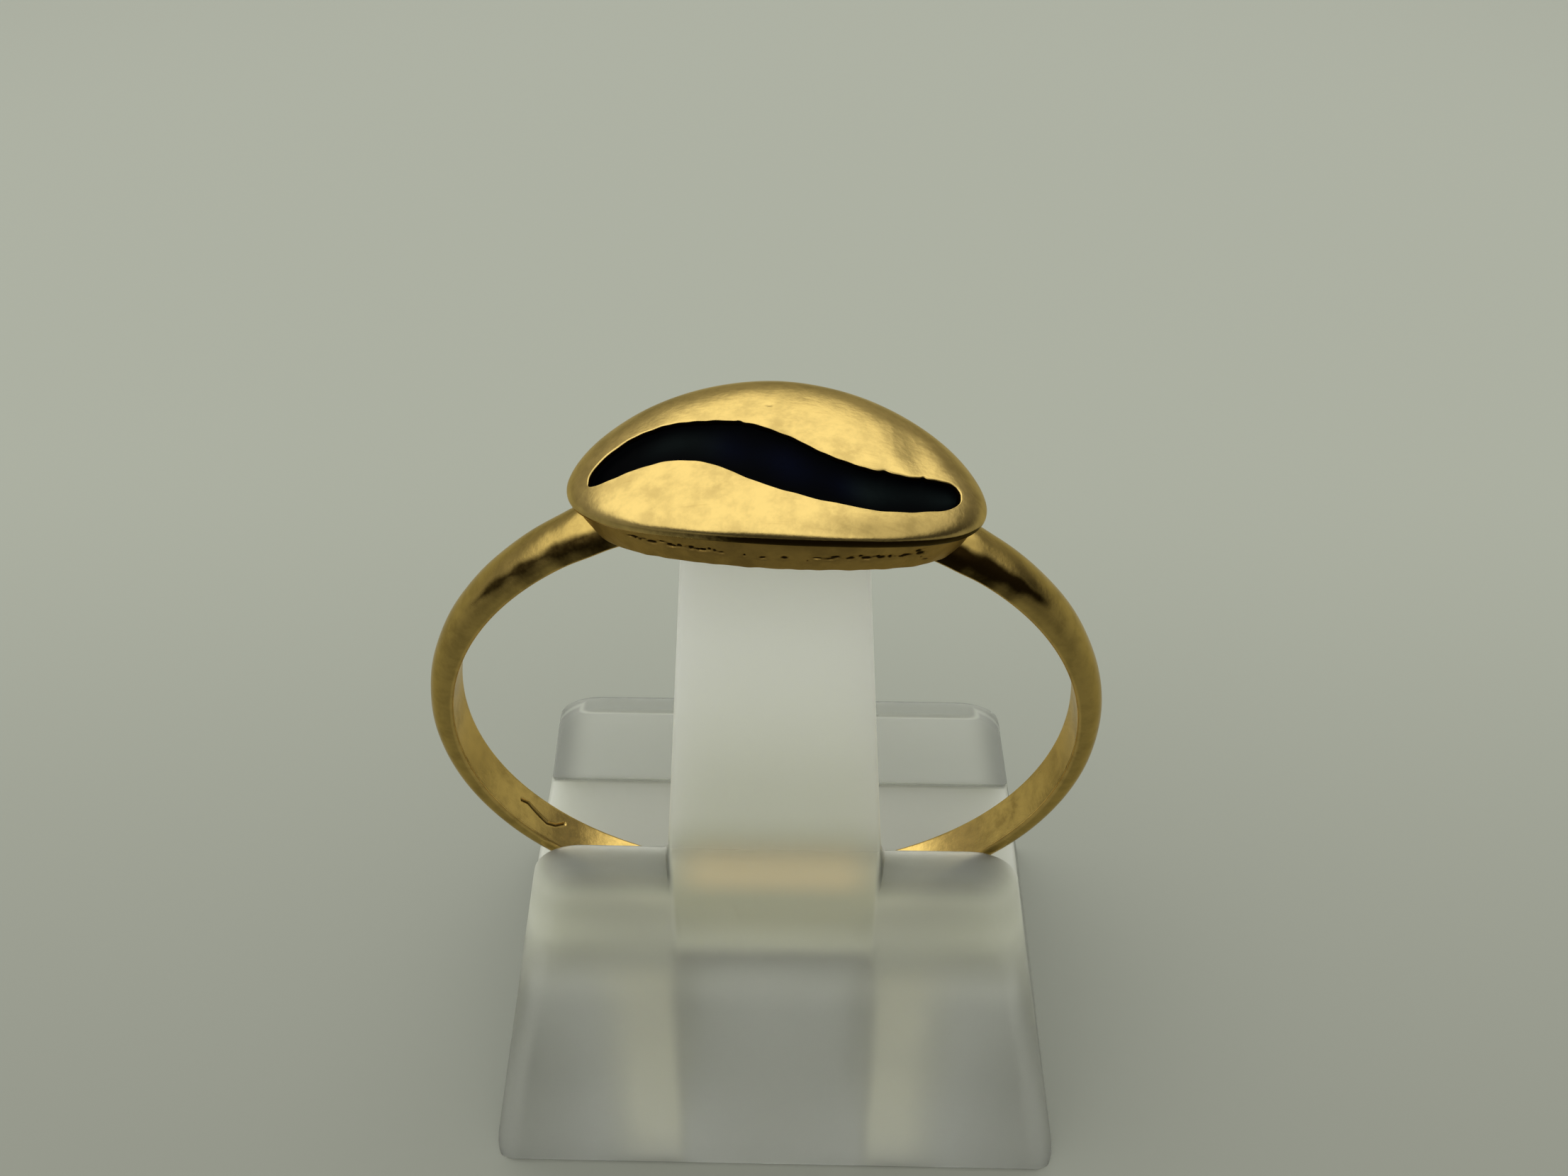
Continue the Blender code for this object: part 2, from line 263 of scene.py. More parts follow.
# %% Band
def make_band():
    """r = inner radius + height, y = half the width times the place across, both round the finger hole."""
    # degrees from, degrees to, rows: they lie closer together where the flaw is
    stretches = ((0, 222, 260), (222.15, 244, 150), (244.6, 360, 160))
    turn = np.radians(np.concatenate([np.linspace(*stretch) for stretch in stretches]))[:, None]
    top = (1 + np.cos(turn)) / 2
    away = np.abs((turn + np.pi) % (2 * np.pi) - np.pi)
    solder = SOLDER_RISE * np.exp(-(((away - SOLDER_ANGLE) / SOLDER_REACH) ** 2))
    half = (FOOT_WIDTH + (SHOULDER_WIDTH - FOOT_WIDTH) * top) / 2 + solder
    arch = np.linspace(0, np.pi, ARCH_COLUMNS)
    e = BAND_INNER_EDGE
    corner = np.linspace(0, np.pi / 2, 6)[:-1]
    inside = np.linspace(0.02, 0.84, 20)
    # flat inside, edge, arch over the top, edge and flat again
    flat, corner_up, corner_in = 0 * inside, e * (1 - np.cos(corner)), e * (1 - np.sin(corner))
    height = np.concatenate([flat, corner_up, BAND_SIDE + 0 * arch, corner_in, flat])
    across = np.concatenate([inside, 1 + 0 * corner, np.cos(arch), -1 + 0 * corner, -inside[::-1]])
    offset = np.concatenate([flat, -corner_in, 0 * arch, corner_up, flat])
    rise = np.concatenate([flat, 0 * corner, np.sin(arch), 0 * corner, flat])
    crown = BAND_THICKNESS - BAND_SIDE + solder
    ring_x, ring_z = FINGER_RADIUS * np.cos(turn), FINGER_RADIUS * np.sin(turn) + across * half
    uneven = HAND_FINISH * waves(ring_x, ring_z, 2.0 * MM, seed=3)
    groove = flaw(turn, across) * (height + rise == 0)
    radius = FINGER_RADIUS + height + rise * (crown + uneven) + FLAW_DEPTH * groove
    y = across * half + offset
    grid = np.stack([radius * np.sin(turn), y, radius * np.cos(turn)], -1)
    # painted dark reflection along the front of both shoulders
    painted_streak = painted_dark_streak(turn, across, height + rise * crown)
    return grid_object("gold_band", in_place(grid), patina=np.maximum(groove, painted_streak))


band = make_band()

# %% [markdown]
# ## The head's own coordinates
# The head is bent round the finger like the band, so it is designed flat and then wrapped: one coordinate
# runs along it, one across it, and the third is the distance from the finger's axis. A lattice or a Simple
# Deform modifier could bend it too. Wrapping the points keeps the sizes exact, because a length along the
# head becomes an angle and nothing else changes.
#
# Seen from above, the outline is a superellipse. One number sets its form: 1 is a diamond, 2 an ellipse, and
# 1.88 has the slightly pointed ends of a bean.

# %% Wrapping the head
HEAD_LENGTH = 10.02 * MM
HEAD_WIDTH = 5.24 * MM
HEAD_POINT = 1.88
HEAD_TWIST = math.radians(1.0)
UNDERSIDE_RADIUS = 9.05 * MM
SEAM_RADIUS = 9.96 * MM
BEAN_RISE = 0.67 * MM
DOME_POWER = 2.2
TOP_RADIUS = SEAM_RADIUS + BEAN_RISE


def head_object(name, plans, radii, **marks):
    """Rows of flat places, each wrapped round the finger: the angle is the length along over the radius."""
    plan, radius = np.stack(plans), np.stack(radii)
    along, y = plan[..., 0], plan[..., 1]
    c, s = math.cos(HEAD_TWIST), math.sin(HEAD_TWIST)
    turn = (along * c + y * s) / SEAM_RADIUS
    grid = np.stack([radius * np.sin(turn), y * c - along * s, radius * np.cos(turn)], -1)
    return grid_object(name, in_place(grid), **marks)


def outline(turn, inset=0.0):
    """The head's outline, a superellipse: each half axis times cosine or sine to the power 2 / HEAD_POINT."""
    power = 2 / HEAD_POINT
    c, s = np.cos(turn), np.sin(turn)
    along = (HEAD_LENGTH / 2 - inset) * np.sign(c) * np.abs(c) ** power
    return np.stack([along, (HEAD_WIDTH / 2 - inset) * np.sign(s) * np.abs(s) ** power], -1)


print("the head is", round(HEAD_LENGTH / MM, 2), "by", round(HEAD_WIDTH / MM, 2), "mm")

# %% [markdown]
# ## The crease
# The crease's middle line is one wave of a sine, and its width swells in the middle and closes at both ends.
# The left half is a little fuller than the right. Its edges were cut by hand, so small waves and three nicks
# are added to its width.
#
# A Boolean modifier could cut the crease out of a finished dome, but it leaves long thin triangles that shade
# badly on polished metal. Here the crease's edge and the head's outline have the same number of points, and
# the dome is spun between them.

# %% Crease
CREASE_START = -4.2 * MM
CREASE_END = 4.05 * MM
CREASE_OFFSET = -0.55 * MM
CREASE_SWING = 0.61 * MM
CREASE_CROSSING = -0.29 * MM
CREASE_HALF_WAVE = 4.08 * MM
CREASE_HALF_WIDTH = 0.53 * MM
CREASE_SWELL = 0.33 * MM
CREASE_SWELL_REACH = 1.36 * MM
CREASE_HEEL = -3.1 * MM  # where the left half is a little fuller
CREASE_HEEL_REACH = 1.2 * MM
CREASE_FULLNESS = 0.1 * MM
CREASE_TIP = 0.05 * MM
CREASE_DEPTH = 0.72 * MM
BLUNTNESS = (13, 16)  # of the left and the right end: the higher, the blunter


def crease_middle(along):
    """The offset less the swing times the sine of the way from the crossing, in half waves."""
    return CREASE_OFFSET - CREASE_SWING * np.sin(np.pi * (along - CREASE_CROSSING) / CREASE_HALF_WAVE)


def crease_half_width(along):
    """Tip width, plus the half width with two bell-shaped swells, times two roots that close the ends."""
    swell = CREASE_SWELL * np.exp(-(((along - CREASE_CROSSING) / CREASE_SWELL_REACH) ** 2))
    swell = swell + CREASE_FULLNESS * np.exp(-(((along - CREASE_HEEL) / CREASE_HEEL_REACH) ** 2))
    share = np.clip((along - CREASE_START) / (CREASE_END - CREASE_START), 0, 1)
    ends = np.sqrt(1 - (1 - share) ** BLUNTNESS[0]) * np.sqrt(1 - share ** BLUNTNESS[1])
    return CREASE_TIP + (CREASE_HALF_WIDTH + swell - CREASE_TIP) * ends


print("the crease is", round((CREASE_END - CREASE_START) / MM, 2), "mm long")

# %% The crease's edge
AROUND = 520  # points round the crease, and round the outline
HAND_CUT = 0.012 * MM
NICKS = ((-0.87, 0.05), (3.11, 0.05), (2.2, 0.03))  # place along the back edge and depth, in mm
NICK_WIDTH = 0.06 * MM
SPINE_REACH = 0.985  # how near to the crease's ends the line in its middle comes

share_round = (np.arange(AROUND) + 0.5) / AROUND  # from the left end over the back and round the front
back_or_front = np.where(share_round < 0.5, 1, -1)
crease_along = (CREASE_START + CREASE_END - (CREASE_END - CREASE_START) * np.cos(2 * np.pi * share_round)) / 2
crease_width = crease_half_width(crease_along)
cut_by_hand = HAND_CUT * waves(crease_along, back_or_front * MM, 0.45 * MM, seed=5)
for nick_along, depth in NICKS:
    nick = np.exp(-(((crease_along - nick_along * MM) / NICK_WIDTH) ** 2))
    cut_by_hand = cut_by_hand + depth * MM * nick * (back_or_front > 0)
aside = back_or_front * (crease_width + cut_by_hand)
crease_edge = np.stack([crease_along, crease_middle(crease_along) + aside], -1)
crease_spine = np.stack([crease_along * SPINE_REACH, crease_middle(crease_along * SPINE_REACH)], -1)
outline_turn = np.pi - 2 * np.pi * share_round
head_outline = outline(outline_turn)
print("the crease is", round(2 * crease_width.max() / MM, 2), "mm wide at its widest")

# %% [markdown]
# ## The bean
# The top of the head is a low dome over its outline, with the crease cut into it. One grid covers all of it:
# each column starts at the crease's floor, goes up its wall and over its lip, runs out across the dome to the
# outline and rolls under.
#
# The top isn't a perfect dome. It has broad soft hollows where it was filed by hand, two small pits and a
# fine scratch. On polished metal such hollows matter more than any texture, because the reflection bends at
# each. They are a table of bells here, whose sum lowers the dome.

# %% The dome's height
LIP = 0.035 * MM  # radius of the crease's edge
RIM_ROLL = 0.07 * MM  # how far the rim's underside turns in, and how far down it goes
RIM_DROP = 0.1 * MM
FRONT_SQUARING = 0.15
DOME_ROWS = 74
DENTS = (  # along, y, half length, half width, turn in degrees and depth, in mm
    (3.0, 0.55, 0.5, 1.1, 0, 0.075),
    (2.28, -1.75, 0.3, 0.75, 10, 0.045),
    (-2.45, -1.6, 0.35, 1.1, -25, 0.05),
    (-3.85, 1.2, 0.5, 0.3, 40, 0.03),
    (-0.26, 1.15, 0.045, 0.04, 0, 0.03),
    (1.02, 0.13, 0.05, 0.04, 0, 0.03),
    (-1.4, -1.5, 0.03, 0.3, -48, 0.006),
    (2.42, 0.75, 0.05, 0.5, 0, -0.004),
)


def dents(along, y):
    """A sum of bells, each stretched along its own line: minus depth times e to the minus distance squared."""
    total = 0 * (along + y)
    for centre, centre_y, length, width, turn, depth in DENTS:
        c, s = math.cos(math.radians(turn)), math.sin(math.radians(turn))
        a, b = along - centre * MM, y - centre_y * MM
        distance = ((a * c + b * s) / (length * MM)) ** 2 + ((b * c - a * s) / (width * MM)) ** 2
        total = total - depth * MM * np.exp(-distance)
    return total


def dome(plan):
    """Distance from the finger's axis: the seam's, plus the rise times the dome's height from 0 to 1."""
    along, y = plan.T
    reach = np.abs(2 * along / HEAD_LENGTH) ** HEAD_POINT + np.abs(2 * y / HEAD_WIDTH) ** HEAD_POINT
    reach = np.clip(reach, 0, 1)
    power = DOME_POWER + FRONT_SQUARING * np.clip(-2 * y / HEAD_WIDTH, 0, 1) ** 2
    height = (1 - reach ** (power / HEAD_POINT)) ** (1 / power)
    inside = np.clip(1 - reach, 0, 1)
    relief = dents(along, y) + HAND_FINISH * waves(along, y, 1.3 * MM, seed=11)
    return SEAM_RADIUS + BEAN_RISE * height + relief * np.sqrt(inside)


print("the deepest hollow is", round(max(dent[-1] for dent in DENTS), 3), "mm deep")

# %% [markdown]
# ## From the crease's floor to the rim
# Most rows of the bean lie where the surface turns quickly: at the crease's lip and near the rim. Under the
# front rim runs a dark line, boldest at the right: partly dirt in the seam, partly painted shade on the rim's
# roll. The attribute that marks it covers the dome's last rows and the roll.

# %% Bean
WALL_ROWS_DARK = 7  # the rows of the crease's floor and wall
BEAN_SINK = 0.4 * MM  # how far the bean's closed underside lies under its seam
UNDER_REACH = 0.6  # share of the head's length of the line that closes an underside
# the dark line under the front rim: dirt in the seam, with painted shade over the rim's roll
RIM_DARK_LINE_ROWS = 36
RIM_DARK_LINE_PLACES = (-4.7, -3.2, -1.5, 0, 4.6, 4.95)  # mm along the head
RIM_DARK_LINE_STRENGTHS = (0, 0.4, 0.65, 0.95, 1, 0.2)


def make_bean():
    """Rows from the crease's floor to the line under the head, each a flat outline and a radius.

    The lip is a quarter circle and the roll at the rim a quarter ellipse. Over the dome, the way that is left
    to the rim is the share left to the power of the dome.
    """
    floor = TOP_RADIUS - CREASE_DEPTH
    at_edge = dome(crease_edge)
    out = head_outline - crease_edge
    distance = np.linalg.norm(out, axis=1, keepdims=True)
    rows = [(crease_spine + (crease_edge - crease_spine) * share, floor + 0 * at_edge) for share in (0, 0.5, 1)]
    rows += [(crease_edge, floor + (at_edge - LIP - floor) * share) for share in (0.3, 0.6, 0.85, 1)]
    for turn in np.linspace(0, np.pi / 2, 5)[1:-1]:
        plan = crease_edge + out / distance * LIP * (1 - np.cos(turn))
        rows.append((plan, at_edge - LIP * (1 - np.sin(turn))))
    start = LIP / distance
    for share in np.linspace(0, 1, DOME_ROWS):
        plan = crease_edge + out * (start + (1 - start) * (1 - (1 - share) ** DOME_POWER))
        rows.append((plan, dome(plan)))
    for turn in np.linspace(0, np.pi / 2, 9)[1:]:
        plan = outline(outline_turn, RIM_ROLL * (1 - math.cos(turn)))
        rows.append((plan, SEAM_RADIUS - RIM_DROP * math.sin(turn) + 0 * at_edge))
    for inset, drop in ((0.3 * MM, 0.2 * MM), (0.4 * MM, BEAN_SINK)):
        rows.append((outline(outline_turn, inset), SEAM_RADIUS - drop + 0 * at_edge))
    spine = np.stack([head_outline[:, 0] * UNDER_REACH, 0 * at_edge], -1)
    rows.append((spine, SEAM_RADIUS - BEAN_SINK + 0 * at_edge))
    patina = np.zeros((len(rows), AROUND))
    patina[:WALL_ROWS_DARK] = 1
    patina[WALL_ROWS_DARK] = 0.6
    # the dark line under the front rim, partly dirt and partly painted shade, starts higher and is bolder to
    # the right
    place = head_outline[:, 0] / MM
    bold = np.interp(place, RIM_DARK_LINE_PLACES, RIM_DARK_LINE_STRENGTHS)
    early = np.clip((place + 1) * 2.2, 0, 9)
    row = np.arange(RIM_DARK_LINE_ROWS)[:, None]
    patina[-RIM_DARK_LINE_ROWS:] = np.clip((row - 9 + early) / 8, 0, 1) * bold * (share_round > 0.5)
    plans, radii = zip(*rows)
    return head_object("gold_bean", plans, radii, patina=patina)


bean = make_bean()

# %% [markdown]
# ## The head's base
# Under the bean lies a low wall, a little smaller than the bean's rim. It was left as it came from the mould,
# with rows of small pits along its upper edge.
#
# Pits cut by a Boolean, one by one, would be slow and fragile. The wall is a grid with close rows instead,
# and its inset grows by a small bell at every pit.

# %% Casting marks
BASE_INSET = 0.09 * MM
BASE_EDGE = 0.08 * MM
BASE_OVERLAP = 0.05 * MM
WALL_BULGE = 0.03 * MM
WALL_ROWS = 42
CAST_FINISH = 0.008 * MM  # how far cast gold is from smooth
MARK_DEPTH = 0.05 * MM
MARK_RUNS = (  # from, to, height at both ends, how many
    (-3.4, -1.4, 0.7, 0.55, 26),
    (1.0, 3.2, 0.47, 0.6, 26),
    (-1.2, 0.8, 0.5, 0.4, 5),
    (3.3, 3.75, 0.75, 0.3, 7),
)


def casting_marks(along, share):
    """Small pits in rows along the front wall: at each, a bell that is about twice as long as it is high."""
    random = np.random.default_rng(21)
    total = 0 * (along + share)
    for start, end, height, end_height, count in MARK_RUNS:
        for step in np.linspace(0, 1, count):
            place = start + (end - start) * step + random.uniform(-0.06, 0.06)
            level = height + (end_height - height) * step + random.uniform(-0.05, 0.05)
            length, tall = random.uniform(0.04, 0.14), random.uniform(0.035, 0.075)
            distance = ((along / MM - place) / length) ** 2 + ((share - level) / tall) ** 2
            total = np.maximum(total, random.uniform(0.6, 1.3) * np.exp(-distance))
    return np.clip(total, 0, 1)


print(sum(run[-1] for run in MARK_RUNS), "casting marks on the front wall")

# %% Base
def make_base():
    """Rows down the wall: the outline moved in by an inset with a sine's bulge, which grows at the foot."""
    base_top = SEAM_RADIUS - BASE_OVERLAP
    front = share_round > 0.5
    zero = 0 * share_round
    flat = [np.stack([head_outline[:, 0] * UNDER_REACH, zero], -1), outline(outline_turn, 0.5 * MM)]
    rows = [(plan, base_top + zero, zero) for plan in flat]
    for share in np.linspace(1, 0, WALL_ROWS):
        z = UNDERSIDE_RADIUS + (base_top - UNDERSIDE_RADIUS) * share
        low = max(0.0, 1 - (z - UNDERSIDE_RADIUS) / BASE_EDGE)
        pits = casting_marks(head_outline[:, 0], share) * front
        uneven = CAST_FINISH * waves(head_outline[:, 0], z + zero + back_or_front * MM, 0.5 * MM, seed=14)
        inset = BASE_INSET + BASE_EDGE * (1 - math.sqrt(1 - low**2)) - WALL_BULGE * math.sin(math.pi * share)
        plan = outline(outline_turn, inset + MARK_DEPTH * pits + uneven)
        rows.append((plan, z + zero, pits))
    rows += [(plan, UNDERSIDE_RADIUS + zero, zero) for plan in flat[::-1]]
    plans, radii, patina = zip(*rows)
    return head_object("gold_base", plans, radii, patina=patina)


base = make_base()

# %% [markdown]
# ## The enamel
# Enamel is powdered glass, melted into a recess. It fills the crease to just under its edge, sags in the
# middle as it cools, and creeps up the wall a little where it set.
#
# A flat dark material on the crease's floor would look painted. A piece of its own has the sag, and the small
# step down from the gold gives the crease its dark outline. A second attribute marks the middle of the filling,
# where a painted sheen of colour stands for the glass's reflection.

# %% Enamel
ENAMEL_REACH = 0.985  # how much of the way from the crease's middle to its wall is filled
ENAMEL_BED = 0.03 * MM
ENAMEL_SINK = 0.16 * MM
ENAMEL_SAG = 0.05 * MM
ENAMEL_CREEP = 0.05 * MM


def make_enamel():
    """Rings from the spine nearly to the wall, at the dome's height less the sink and sag, plus the creep."""
    inner = crease_spine + (crease_edge - crease_spine) * ENAMEL_REACH
    bottom = TOP_RADIUS - CREASE_DEPTH + ENAMEL_BED + 0 * share_round
    rows = []
    for share in np.linspace(0, 1, 26):
        plan = crease_spine + (inner - crease_spine) * share
        top = dome(plan) - ENAMEL_SINK - ENAMEL_SAG * (1 - share**2) + ENAMEL_CREEP * share**12
        # painted sheen: strongest in the middle of the filling and on its back half, fading to black at the
        # wall
        cloud = 0.65 + 0.35 * waves(plan[:, 0], plan[:, 1], 1.6 * MM, seed=17)
        rows.append((plan, top, cloud * np.clip(1.15 - 1.35 * share + 0.15 * back_or_front, 0, 1)))
    rows += [(plan, bottom, 0 * share_round) for plan in (inner, crease_spine)]
    plans, radii, sheen = zip(*rows)
    return head_object("enamel", plans, radii, sheen=sheen)


enamel = make_enamel()

# %% [markdown]
# ## The stand
# The stand is one moulded block: sloping sides, a trough across its top that the ring stands in, and a tongue
# that leans back through the finger hole. Its section changes in steps along X, where the tongue and the gap
# in the back wall begin and end. So its grid has two columns at each step.
#
# Boxes joined by Boolean modifiers would be another way. The block's sides all slope, though, and the
# tongue's front is the block's own front carried on upwards. A section whose points follow the slopes keeps
# such faces in one plane, without a seam.

# %% Stand sizes
BASE_WIDTH = 20.64 * MM
BASE_DEPTH = 13.72 * MM
TOP_WIDTH = 14.56 * MM
TOP_DEPTH = 6.76 * MM
BLOCK_HEIGHT = 14.8 * MM
TROUGH_FLOOR = 10.71 * MM
FRONT_WALL = 1.04 * MM
BACK_WALL = 0.6 * MM
WALL_CORNER = 1.35 * MM
STAND_EDGE = 0.13 * MM
OUTER_EDGE = 0.9 * MM
BASE_EDGE_ROUND = 0.25 * MM
NOTCH_WIDTH = 6.0 * MM
NOTCH_SILL = 0.3 * MM
TONGUE_LENGTH = 13.5 * MM
TONGUE_ROOT_WIDTH = 6.48 * MM
TONGUE_TIP_WIDTH = 4.42 * MM
TONGUE_TIP_THICKNESS = 1.2 * MM
TONGUE_ROOT_THICKNESS = 1.3 * MM
TONGUE_CORNER = 0.6 * MM
INNER_COLUMN = 0.8  # place of the tongue's inner columns, as a share of its half width


def block_half_width(z):
    """Half the width, which falls evenly from the base's to the top's."""
    return (BASE_WIDTH + (TOP_WIDTH - BASE_WIDTH) * z / BLOCK_HEIGHT) / 2


def front_face(z):
    """Y of the sloping front, minus half the depth at that height; the back is its mirror image."""
    return -(BASE_DEPTH + (TOP_DEPTH - BASE_DEPTH) * z / BLOCK_HEIGHT) / 2


def tongue_half_width(z):
    """Half the tongue's width, which narrows evenly from root to tip."""
    return (TONGUE_ROOT_WIDTH + (TONGUE_TIP_WIDTH - TONGUE_ROOT_WIDTH) * (z - BLOCK_HEIGHT) / TONGUE_LENGTH) / 2


def tongue_back(z):
    """Y of the tongue's back: its front's, plus a thickness that goes evenly from root to tip."""
    share = (z - TROUGH_FLOOR) / (BLOCK_HEIGHT + TONGUE_LENGTH - TROUGH_FLOOR)
    return front_face(z) + TONGUE_ROOT_THICKNESS + (TONGUE_TIP_THICKNESS - TONGUE_ROOT_THICKNESS) * share


print("the tongue's tip is", round((BLOCK_HEIGHT + TONGUE_LENGTH) / MM, 1), "mm up")

# %% [markdown]
# ## One section, then many columns
# The same 13 points go round the section everywhere. Where the tongue or the gap is missing, some of them
# fall together, and the empty faces between them are dissolved.

# %% The stand's section
def stand_section(tongue, notch):
    """(y, z) once round the section, with the tongue up or not and the mould's core in it or not."""
    front_inner, back_inner = -TOP_DEPTH / 2 + FRONT_WALL, TOP_DEPTH / 2 - BACK_WALL
    tip, sill = BLOCK_HEIGHT + TONGUE_LENGTH, TROUGH_FLOOR + NOTCH_SILL
    front_top = (front_face(tip), tip) if tongue else (front_face(BLOCK_HEIGHT), BLOCK_HEIGHT)
    inner_top = (tongue_back(tip), tip) if tongue else (front_inner, BLOCK_HEIGHT)
    back_top = sill if notch else BLOCK_HEIGHT
    lean = tongue_back(BLOCK_HEIGHT) - tongue_back(0)
    crossing = (front_inner - tongue_back(0)) / lean * BLOCK_HEIGHT  # where the tongue's back meets the wall's
    return np.array(
        [
            (front_face(0), 0),
            front_top,
            inner_top,
            (front_inner, crossing),
            (tongue_back(sill) if notch else front_inner, sill),
            (front_inner, sill),
            (front_inner, TROUGH_FLOOR),
            (back_inner, TROUGH_FLOOR),
            (back_inner, sill),
            (back_inner, back_top),
            (-front_face(back_top), back_top),
            (-front_face(sill), sill),
            (-front_face(0), 0),
        ]
    )


def stand_column(side, place):
    """One column of the grid: points of the section at its x, which the sloping sides make depend on z."""
    section = stand_section(tongue=place in ("tongue", "wall", "notch"), notch=place == "notch")
    y, z = section.T
    on_tongue = np.array([False, True, True, True] + [False] * 9)
    in_front = np.array([False] * 4 + [True] * 3 + [False] * 6)
    if place == "end":
        x = block_half_width(z)
    elif place in ("step", "tongue"):
        x = np.where(on_tongue, tongue_half_width(z), TONGUE_ROOT_WIDTH / 2)
    else:
        x = np.where(on_tongue, INNER_COLUMN * tongue_half_width(z), NOTCH_WIDTH / 2)
        x[in_front] = TONGUE_ROOT_WIDTH / 2
        x[3] = tongue_half_width(z[3])  # the foot of the tongue's back, on the line of its sides
    return np.stack([side * x, y, z], -1)


print("points round the section:", len(stand_section(tongue=True, notch=True)))

# %% [markdown]
# ## Rounding the moulded edges
# A moulded piece has no sharp edge, and frosted plastic shows it: each edge is a soft bright or dark line.
# The large corners are beveled in the mesh. The small edges are left to a Bevel modifier, which reads each
# edge's bevel weight and can still be changed afterwards.

# %% Rounding
SAME_PLACE = 0.001 * MM
NEARLY_FLAT = math.radians(0.5)
EDGE_ROUNDS = 6  # faces across each rounded edge


def round_corners(shape, height, reach, steps):
    """Bevels the outline's corners at this height: the sharp edges there that run from front to back."""
    beyond = TONGUE_ROOT_WIDTH / 2 + MM if height == BLOCK_HEIGHT else 0
    corners = [
        edge
        for edge in shape.edges
        if all(abs(v.co.z - height) < SAME_PLACE for v in edge.verts)
        and abs(edge.verts[0].co.x - edge.verts[1].co.x) < SAME_PLACE
        and edge.calc_face_angle(0) > math.radians(50)
        and abs(edge.verts[0].co.x) > beyond
    ]
    bmesh.ops.bevel(shape, geom=corners, offset=reach, segments=steps, profile=0.5, affect="EDGES")


def weigh_edges(shape):
    """Gives each sharp edge its width as a share of the widest: at the base, outside in front, or elsewhere."""
    weight = shape.edges.layers.float.new("bevel_weight_edge")
    for edge in shape.edges:
        if edge.calc_face_angle(0) > math.radians(40):
            outside = all(v.co.y < -TOP_DEPTH / 2 + 0.1 * MM and v.co.z < BLOCK_HEIGHT + MM for v in edge.verts)
            at_base = all(v.co.z < 0.1 * MM for v in edge.verts)
            width = BASE_EDGE_ROUND if at_base else OUTER_EDGE if outside else STAND_EDGE
            edge[weight] = width / OUTER_EDGE


# %% Stand
def make_stand():
    """Faces between neighbouring columns and at both ends, cleaned, then rounded by the width of each edge."""
    places = ("end", "step", "tongue", "wall", "notch")
    columns = [stand_column(-1, place) for place in places] + [stand_column(1, place) for place in places[::-1]]
    grid = np.stack(columns)
    corners = np.arange(grid.size // 3)
    count = grid.shape[1]
    ends = [corners[:count].tolist(), corners[-count:].tolist()]
    mesh = bpy.data.meshes.new("frosted_stand")
    mesh.from_pydata(grid.reshape(-1, 3), [], grid_faces(*grid.shape[:2]).tolist() + ends)
    shape = merged(mesh)
    bmesh.ops.dissolve_degenerate(shape, edges=shape.edges, dist=MERGED)
    bmesh.ops.dissolve_limit(shape, angle_limit=NEARLY_FLAT, verts=shape.verts, edges=shape.edges)
    bmesh.ops.recalc_face_normals(shape, faces=shape.faces)
    round_corners(shape, BLOCK_HEIGHT, WALL_CORNER, 14)
    round_corners(shape, BLOCK_HEIGHT + TONGUE_LENGTH, TONGUE_CORNER, 8)
    weigh_edges(shape)
    made = finished(mesh, shape)
    rounding = made.modifiers.new("rounding", "BEVEL")
    rounding.limit_method = "WEIGHT"
    rounding.width = OUTER_EDGE
    rounding.segments = EDGE_ROUNDS
    rounding.use_clamp_overlap = False
    rounding.harden_normals = True
    return made


stand = make_stand()

# %% [markdown]
# ## Writing shaders as Python
# A material is a graph of nodes. It could be wired by hand in the editor, but a long formula soon becomes
# hard to read there. This small class wraps one output socket, so that an expression such as 1 - mask adds
# the Math node it needs.

# %% Shader helper
def feed(node, **inputs):
    """Sets a node's inputs, each given by its name or as i and its number, to a value or a link."""
    for name, value in inputs.items():
        target = node.inputs[int(name[1:]) if name[1:].isdigit() else name.replace("_", " ")]
        if isinstance(value, Socket):
            value.tree.links.new(value.socket, target)
        else:
            target.default_value = value


